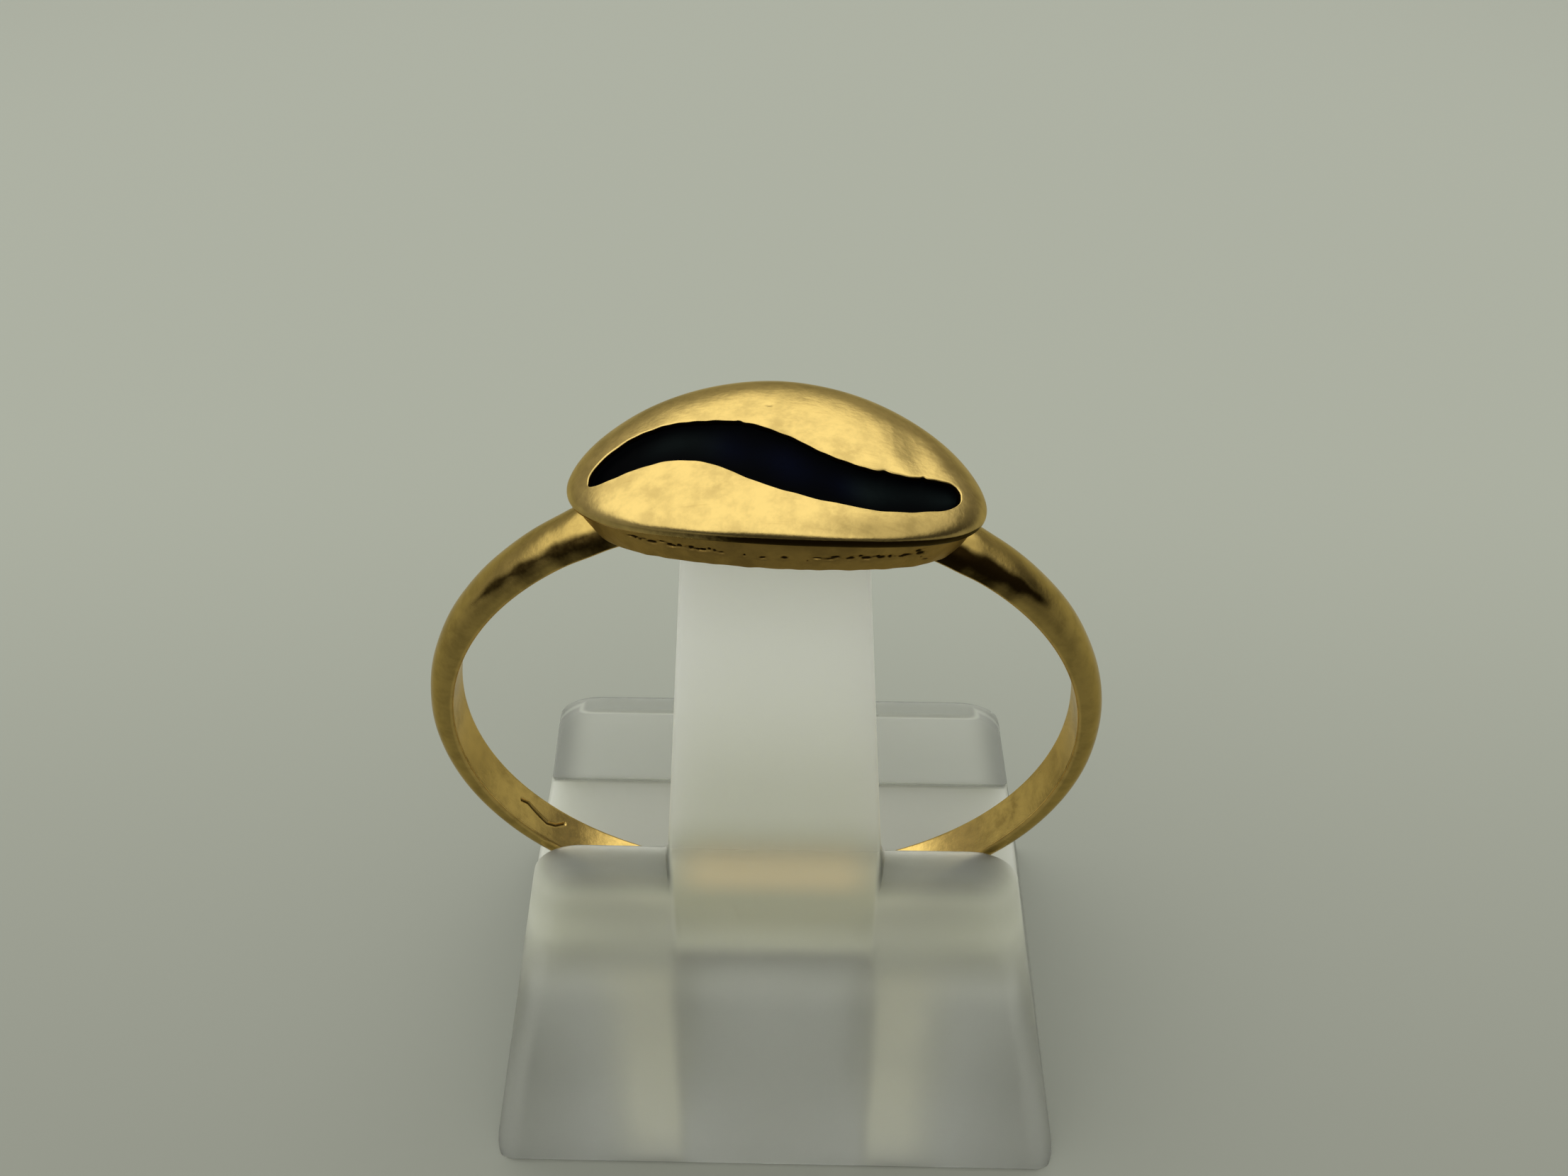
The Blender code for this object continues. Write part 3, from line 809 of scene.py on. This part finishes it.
class Socket:
    """One output socket of a node, which can be added, multiplied and so on to make Math nodes."""

    def __init__(self, tree, socket):
        self.tree, self.socket = tree, socket

    def node(self, kind, settings=None, output=0, **inputs):
        """A new node: its settings first, then the values or links of its inputs."""
        made = self.tree.nodes.new(kind)
        for name, value in (settings or {}).items():
            setattr(made, name, value)
        feed(made, **inputs)
        return Socket(self.tree, made.outputs[output])

    def axis(self, number):
        """X, Y or Z of this vector, by its number from 0."""
        return self.node("ShaderNodeSeparateXYZ", output=number, Vector=self)

    def noise(self, scale, detail, roughness=0.5):
        """A noise texture on this vector."""
        return self.node("ShaderNodeTexNoise", Vector=self, Scale=scale, Detail=detail, Roughness=roughness)

    def math(self, operation, other=None, swapped=False):
        """A Math node on this value alone, or on this and another one."""
        values = [self] if other is None else [other, self] if swapped else [self, other]
        inputs = {f"i{i}": value for i, value in enumerate(values)}
        return self.node("ShaderNodeMath", {"operation": operation}, **inputs)

    def __add__(self, other):
        return self.math("ADD", other)

    def __sub__(self, other):
        return self.math("SUBTRACT", other)

    def __rsub__(self, other):
        return self.math("SUBTRACT", other, swapped=True)

    def __mul__(self, other):
        return self.math("MULTIPLY", other)

    __radd__ = __add__
    __rmul__ = __mul__

    def clamp(self):
        """This value kept between 0 and 1."""
        return self.node("ShaderNodeClamp", i0=self)

    def steps(self, low, high):
        """0 under low, 1 over high and a smooth rise between; the other way round where low is the higher."""
        smooth = {"interpolation_type": "SMOOTHSTEP"}
        return self.node("ShaderNodeMapRange", smooth, Value=self, From_Min=low, From_Max=high)

    def rise(self, low, high):
        """The same for a place, between two places in mm."""
        return self.steps(low * MM, high * MM)

    def mix(self, first, second):
        """A colour between two, by this value."""
        first, second = (c if isinstance(c, Socket) else (*c, 1) for c in (first, second))
        return self.node("ShaderNodeMix", {"data_type": "RGBA"}, output=2, i0=self, i6=first, i7=second)


def new_material(piece, name):
    """Gives a piece a material, and returns its Principled node and a socket of the object coordinates."""
    made = bpy.data.materials.new(name)
    made.use_nodes = True
    piece.data.materials.append(made)
    tree = made.node_tree
    return tree.nodes["Principled BSDF"], Socket(tree, tree.nodes.new("ShaderNodeTexCoord").outputs["Object"])


# %% [markdown]
# ## Gold
# Gold is a metal, so its colour lies in its reflection: Metallic is 1 and Base Color is the colour of the
# mirror. Worn gold is mottled, browner in low places that no finger rubs, and crossed by fine scratches. All
# of that comes from noise at several sizes, stretched for the scratches. An image texture would have to be
# unwrapped onto every piece. Noise on object coordinates needs no unwrapping and runs across the joints
# between the pieces.
#
# The attribute that marks dark places is sharpened with a little noise and turned into a nearly black colour:
# dirt in the flaw, the crease and the pits, painted shade along the band's shoulders, and dirt with painted
# shade under the bean's front rim. The three pieces share one function. The bean is polished most, the band is
# browner with its inside painted lighter for the pale stand that it reflects, and the cast wall under the head
# is dull.

# %% Shades of gold
POLISHED_GOLD = (0.62, 0.44, 0.155)
BAND_GOLD = (0.5, 0.345, 0.105)
# painted light: the band's inside, lighter for the pale stand that it reflects
LIT_INSIDE_GOLD = (0.72, 0.49, 0.155)
CAST_GOLD = (0.42, 0.27, 0.075)
TARNISH = (0.3, 0.19, 0.055)
# nearly black: dirt, and painted shade where the mark stands for it
DIRT_AND_SHADE = (0.022, 0.012, 0.003)
GRAZED_GOLD = (0.93, 0.82, 0.58, 1)  # the tint of what it reflects where it is seen edge-on


def clouded(cloud, colour):
    """The colour a little lighter or a fifth darker, by a cloudy value."""
    light, dark = (tuple(value * share for value in colour) for share in (1.02, 0.8))
    return cloud.mix(light, dark)


def inside_the_band(place):
    """1 on the band's inner face, where the distance from the finger's axis is smallest, and 0 elsewhere."""
    x, z = (place.axis(i) - RING_CENTRE[i] for i in (0, 2))
    distance = (x * x + z * z).math("SQRT")
    return distance.steps(FINGER_RADIUS + 0.12 * MM, FINGER_RADIUS + 0.05 * MM)


# %% Gold
def gild(piece, name, colour, roughness, grain, wear, dark_from=0.4, dark_to=0.8, lit_inside=None):
    """Gold with a mottled shade, tarnish in low places, fine scratches, near-black dirt and painted shade where
    marked, and optionally a painted lighter inside.
    """
    surface, place = new_material(piece, name)
    fine, broad, mottle = place.noise(9000.0, 4.0), place.noise(900.0, 3.0), place.noise(2600.0, 6.0, 0.65)
    stretch = {"Rotation": (0.0, 0.3, 0.6), "Scale": (700.0, 12000.0, 3000.0)}
    scratches = place.node("ShaderNodeMapping", Vector=place, **stretch).noise(1.0, 3.0)
    cloud = (0.45 * broad + 0.55 * mottle).steps(0.4, 0.62)
    shade = clouded(cloud, colour)
    # painted light on the band's inside, where it reflects the pale stand
    if lit_inside:
        shade = inside_the_band(place).mix(shade, clouded(cloud, lit_inside))
    low_places = broad.steps(0.52, 0.75) * mottle.steps(0.4, 0.6) * wear
    stain = low_places + scratches.steps(0.6, 0.75) * (0.5 * wear)
    shade = stain.clamp().mix(shade, TARNISH)
    # the near-black mark: dirt in the flaw, crease and pits, painted shade on the band's shoulders and partly
    # under the bean's rim
    mask = place.node("ShaderNodeAttribute", {"attribute_name": "patina"}, output=2)
    dirt_and_shade = (mask + 0.25 * (fine - 0.5)).steps(dark_from, dark_to)
    roughness = roughness + 0.1 * (broad - 0.5) + 0.05 * (fine - 0.5) + 0.2 * dirt_and_shade
    relief = fine + 0.5 * scratches + 2.0 * mottle + 5.0 * broad
    bump = place.node("ShaderNodeBump", Height=relief, Strength=grain, Distance=0.02 * MM)
    feed(surface, Base_Color=dirt_and_shade.mix(shade, DIRT_AND_SHADE), Roughness=roughness, Normal=bump)
    feed(surface, Metallic=1, Specular_Tint=GRAZED_GOLD)
    print(piece.name, "has", len(place.tree.nodes), "shader nodes")


# %% Gold on the three pieces
gild(bean, "polished_gold", POLISHED_GOLD, 0.2, 0.12, 0.3)
gild(band, "band_gold", BAND_GOLD, 0.2, 0.12, 0.5, dark_from=0.1, dark_to=1.0, lit_inside=LIT_INSIDE_GOLD)
gild(base, "cast_gold", CAST_GOLD, 0.42, 0.4, 0.6)

# %% [markdown]
# ## The enamel's colour
# The filling is nearly black. A sheen is painted into its colour: blue-black in the middle of the S, a cooler
# green-black beyond, and black towards the walls and the left end. It is an old and matt glass that reflects
# hardly anything, so its specular level is very low. A strong coat would show a bright window in it, and the
# real ring has none.

# %% Enamel colour
# colours of the painted sheen; the glass itself is nearly black
GREEN_BLACK = (0.0035, 0.0055, 0.006)
BLUE_BLACK = (0.0008, 0.0013, 0.005)
NEARLY_BLACK = (0.0002, 0.0003, 0.0006)

surface, place = new_material(enamel, "enamel_with_painted_sheen")
sheen = place.node("ShaderNodeAttribute", {"attribute_name": "sheen"}, output=2)
along = place.axis(0)
grain = place.noise(5000.0, 3.0)
# the painted sheen: blue-black in the middle of the S, green-black beyond it, none at the left end
bluer = along.rise(-1.9, -0.8) * along.rise(2.2, 1.3)
painted_sheen_share = sheen * (0.7 + 0.6 * grain) * along.rise(-3.4, -1.6)
black_and_painted_sheen = painted_sheen_share.clamp().mix(NEARLY_BLACK, bluer.mix(GREEN_BLACK, BLUE_BLACK))
feed(surface, Base_Color=black_and_painted_sheen, Roughness=0.3 + 0.2 * grain, Specular_IOR_Level=0.006)
print("enamel has", len(place.tree.nodes), "shader nodes")

# %% [markdown]
# ## Frosted plastic
# The stand is clear acrylic with a matt skin and a little haze inside. Thin places look clear and thick ones
# milky, so it is a mix of two shaders: rough glass, and a white body that scatters light under its surface. A
# volume shader would be closer to the real thing, but it is slow and noisy, and an export can't keep it.
#
# The mix follows the shape, by the height, the distance from the middle and the place from front to back. Most
# of
# the milky shader's colours are painted light and shade for what the clear plastic bends and shows:
#
# - the two posts of the back wall are thin enough to see through, with painted dark lines where their edges
#   bend the light
# - the tongue is milky and bright, as light reaches it from all sides, and painted lighter towards its tip,
#   where the head shades it
# - where the tongue leaves the block, a warm glow of the ring's gold is painted on, with painted shade under it
# - under the trough the block's middle is painted greyer, with a painted lighter stripe on each side
# - the front wall beside the tongue is painted darker towards its top
#
# So the first cell gives a mask for each zone, the second lays the milky shader's colours over each other by
# these masks, and the third mixes the shaders.

# %% Zones of the plastic
clear, place = new_material(stand, "milky_acrylic")
x, y, z = (place.axis(i) for i in range(3))
across = x.math("ABSOLUTE")
cloud = place.noise(260.0, 3.0)
middle = across.rise(3.2, 3.0)
in_front = y.rise(0.0, -2.0)

# the posts of the back wall, the clear window in each, and a painted dark border along its top and outer side
inner_face = y.rise(2.6, 2.72) * z.steps(TROUGH_FLOOR - 0.05 * MM, TROUGH_FLOOR + 0.05 * MM)
post = inner_face.math("MAXIMUM", y.rise(2.9, 3.1) * z.rise(6.0, 8.0) * across.rise(2.6, 3.2))
from_side = block_half_width(0) - z * ((BASE_WIDTH - TOP_WIDTH) / 2 / BLOCK_HEIGHT) - across
beside_gap = (across + 0.08 * MM * cloud).steps(NOTCH_WIDTH / 2 + 0.05 * MM, NOTCH_WIDTH / 2 + 0.3 * MM)
window = from_side.rise(0.15, 1.3) * (BLOCK_HEIGHT - z).rise(0.15, 0.9) * beside_gap
edge = y.rise(3.0, 3.25).math("MAXIMUM", z.steps(BLOCK_HEIGHT - 0.25 * MM, BLOCK_HEIGHT - 0.1 * MM))
border = post * (1 - window) * edge

# the trough's floor, and the plastic under it, painted greyer in the middle with a lighter stripe on each side
in_trough = z.steps(TROUGH_FLOOR + 0.12 * MM, TROUGH_FLOOR + 0.04 * MM)
in_trough = in_trough * z.steps(TROUGH_FLOOR - 1.0 * MM, TROUGH_FLOOR) * y.math("ABSOLUTE").rise(3.1, 2.9)
shelf = in_trough * (1 - middle)
stripe = across.rise(2.9, 3.6) * (6.6 * MM - across).rise(0.0, 2.2) * (12.6 * MM - z).rise(0.0, 2.0)
stripe = stripe * (0.75 + 0.5 * cloud)

# the tongue, the place where it leaves the block with a painted warm glow, and the painted shade on the top of
# the front wall beside it
tongue = z.steps(BLOCK_HEIGHT, BLOCK_HEIGHT + 1.5 * MM)
veil = middle * in_front * z.rise(11.0, 12.0) * z.rise(17.4, 15.2)
glow = veil * z.rise(13.7, 14.9) * across.rise(3.4, 1.8)
brow = (1 - middle) * in_front * z.rise(9.6, 11.2)
print("nodes for the zones:", len(place.tree.nodes))

# %% Painted light and shade of the plastic
# tones of the milky shader, most of them painted light and shade
UNDER_TROUGH, NEAR_TROUGH, STRIPE = (0.24, 0.243, 0.217), (0.5, 0.5, 0.445), (0.61, 0.6, 0.5)
TONGUE_FOOT, TONGUE_TIP = (0.64, 0.64, 0.55), (0.88, 0.88, 0.765)
HAZE_FOOT, HAZE_TOP, WARM_GLOW = (0.52, 0.52, 0.44), (0.38, 0.38, 0.315), (0.58, 0.49, 0.35)
WALL_FOOT, WALL_MIDDLE, WALL_TOP = (0.455, 0.455, 0.397), (0.4, 0.4, 0.35), (0.09, 0.093, 0.087)
WINDOW, BORDER, TROUGH = (0.95, 0.95, 0.87), (0.14, 0.145, 0.14), (0.385, 0.385, 0.35)
GLASS, GLASS_BROW, GLASS_TONGUE = (0.8, 0.8, 0.75), (0.45, 0.46, 0.43), (0.98, 0.98, 0.92)

# painted shade in the block's middle under the trough, and a painted lighter stripe on each side
tone = stripe.mix(z.rise(8.5, 10.2).mix(UNDER_TROUGH, NEAR_TROUGH), STRIPE)
# painted light: the tongue lighter towards its tip, where the head shades it
tone = tongue.mix(tone, z.rise(16, 24).mix(TONGUE_FOOT, TONGUE_TIP))
# painted shade under the tongue's foot, and a painted warm glow of the gold behind it
haze = z.rise(11.5, 13.2).mix(HAZE_FOOT, HAZE_TOP)
tone = veil.mix(tone, glow.mix(haze, WARM_GLOW))
# painted shade: the front wall beside the tongue darker towards its top
wall = z.rise(12, 13.5).mix(WALL_FOOT, WALL_MIDDLE)
tone = brow.mix(tone, z.rise(13.7, 14.9).mix(wall, WALL_TOP))
# the posts: a pale window, with painted dark lines along their top and outer side
tone = post.mix(tone, border.mix(WINDOW, BORDER))
tone = shelf.mix(tone, TROUGH)
# the clear glass's colour, painted darker on the front wall's brow
glass = tongue.mix((brow * z.rise(12, 14.5)).mix(GLASS, GLASS_BROW), GLASS_TONGUE)
print("with the tones:", len(place.tree.nodes))

# %% Frosted plastic
tree = place.tree
milky = tree.nodes.new("ShaderNodeBsdfPrincipled")
speckle = place.noise(5200.0, 4.0)
solidity = 1 - 0.88 * post + 0.4 * border - 0.25 * in_trough * middle
for shader in (clear, milky):
    bump = place.node("ShaderNodeBump", Height=speckle, Strength=0.25, Distance=0.01 * MM)
    feed(shader, IOR=1.49, Alpha=solidity, Normal=bump)
feed(clear, Base_Color=glass, Roughness=0.38 - 0.13 * tongue - 0.25 * post, Transmission_Weight=1.0)
feed(milky, Base_Color=tone, Roughness=0.4)
feed(milky, Subsurface_Weight=1.0, Subsurface_Scale=6 * MM, Subsurface_Radius=(1.0, 1.0, 0.9))

# the milky shader's share of the mix
share = 0.3 + 0.3 * stripe - 0.11 * in_trough * middle
share = share + 0.4 * tongue + 0.7 * post + 0.7 * shelf + 0.6 * veil * (1 - tongue)
share = (share + brow * (0.25 + 0.4 * z.rise(10.8, 12.4)) + 0.2 * z.rise(18, 24)).clamp()
clear_side, milky_side = (Socket(tree, shader.outputs[0]) for shader in (clear, milky))
mixed = place.node("ShaderNodeMixShader", i0=share, i1=clear_side, i2=milky_side)
feed(tree.nodes["Material Output"], Surface=mixed)
print("frosted_stand has", len(tree.nodes), "shader nodes")

# %% [markdown]
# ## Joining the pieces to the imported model
# Nothing moves on a ring, so every piece rides on the one body. The pieces are finer versions of the packed
# solids and take their places. The gold is one solid there because it is soldered together, and three pieces
# here because the bean, its base and the band have different finishes.

# %% Ride
gold_pieces = [(piece, "gold") for piece in (band, bean, base)]
for piece, slot in gold_pieces + [(enamel, "dark_enamel"), (stand, "frosted_plastic")]:
    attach(piece, "root")
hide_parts("gold_ring")
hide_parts("crease_enamel")
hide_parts("display_stand")
print("5 pieces on the body root, in place of gold_ring, crease_enamel and display_stand")

# %% [markdown]
# ## The floor
# The stand is on a large pale sheet that curves away into soft light. It is a single flat square here, and
# shade
# is painted into its colour instead: a little darker near the camera, where the camera casts a soft shadow, and
# darker again far away, where the gold reflects it. A curved backdrop would give the same picture and needs
# many more faces. The floor lies a hundredth of a millimetre under the stand, so that the two never lie in one
# plane.

# %% Floor
FLOOR_SIZE = 1.2
FLOOR_DROP = -0.01 * MM

floor_mesh = bpy.data.meshes.new("floor")
half = FLOOR_SIZE / 2
around = ((-half, -half), (half, -half), (half, half), (-half, half))
floor_mesh.from_pydata([(x, y, FLOOR_DROP) for x, y in around], [], [(0, 1, 2, 3)])
floor = in_scene(floor_mesh)
surface, place = new_material(floor, "floor")
towards_front = -1.0 * place.axis(1)
far = place.node("ShaderNodeVectorMath", {"operation": "LENGTH"}, output=1, i0=place)
# painted shade: darker towards the camera, darker still in front of the stand, and darker far away
shade = towards_front.rise(-34, 18).mix((0.305, 0.312, 0.28), (0.215, 0.218, 0.195))
shade = towards_front.rise(12, 60).mix(shade, (0.1, 0.1, 0.09))
shade = far.rise(80, 260).mix(shade, (0.18, 0.18, 0.162))
feed(surface, Base_Color=shade, Roughness=0.6, Specular_IOR_Level=0.2)
print("the floor is", FLOOR_SIZE, "m wide")

# %% [markdown]
# ## The light
# Gold shows its surroundings more than itself, so the light is designed as what the gold can see. Most of the
# sky is a bright soft dome. Low in front, round the camera, it is dark, and the right side is a little
# dimmer. Area lamps could do this too, but their edges would show as shapes in the gold. A world made of
# smooth steps over the direction has no edges.
#
# The view transform is set to Standard, so that the colours come out as they are mixed here.

# %% Light
bpy.context.scene.view_settings.view_transform = "Standard"
world = bpy.data.worlds.new("room")
bpy.context.scene.world = world
world.use_nodes = True
tree = world.node_tree
direction = Socket(tree, tree.nodes.new("ShaderNodeTexCoord").outputs["Generated"])


def towards(where):
    """Cosine of the angle between the direction and this one."""
    dot = {"operation": "DOT_PRODUCT"}
    return direction.node("ShaderNodeVectorMath", dot, output=1, i0=direction, i1=where)


# %% Sky and room
FRONT = (0, -0.996, 0.087)
FRONT_RIGHT = (0.6, -0.8, 0)
RIGHT = (0.85, -0.15, 0.5)
SKY, SKY_RIGHT = (1.59, 1.63, 1.5), (0.8, 0.81, 0.72)
ROOM, ROOM_FRONT = (0.34, 0.345, 0.32), (0.04, 0.04, 0.038)

up = direction.axis(2).steps(math.sin(math.radians(10)), math.sin(math.radians(26)))
up = up * (1 - towards(FRONT).steps(0.8, 0.93))
room = towards(FRONT_RIGHT).steps(-0.5, 0.6).mix(ROOM, ROOM_FRONT)
sky = towards(RIGHT).steps(0.7, 0.93).mix(SKY, SKY_RIGHT)
feed(tree.nodes["Background"], Color=up.mix(room, sky), Strength=1.0)
print("the world has", len(tree.nodes), "nodes")
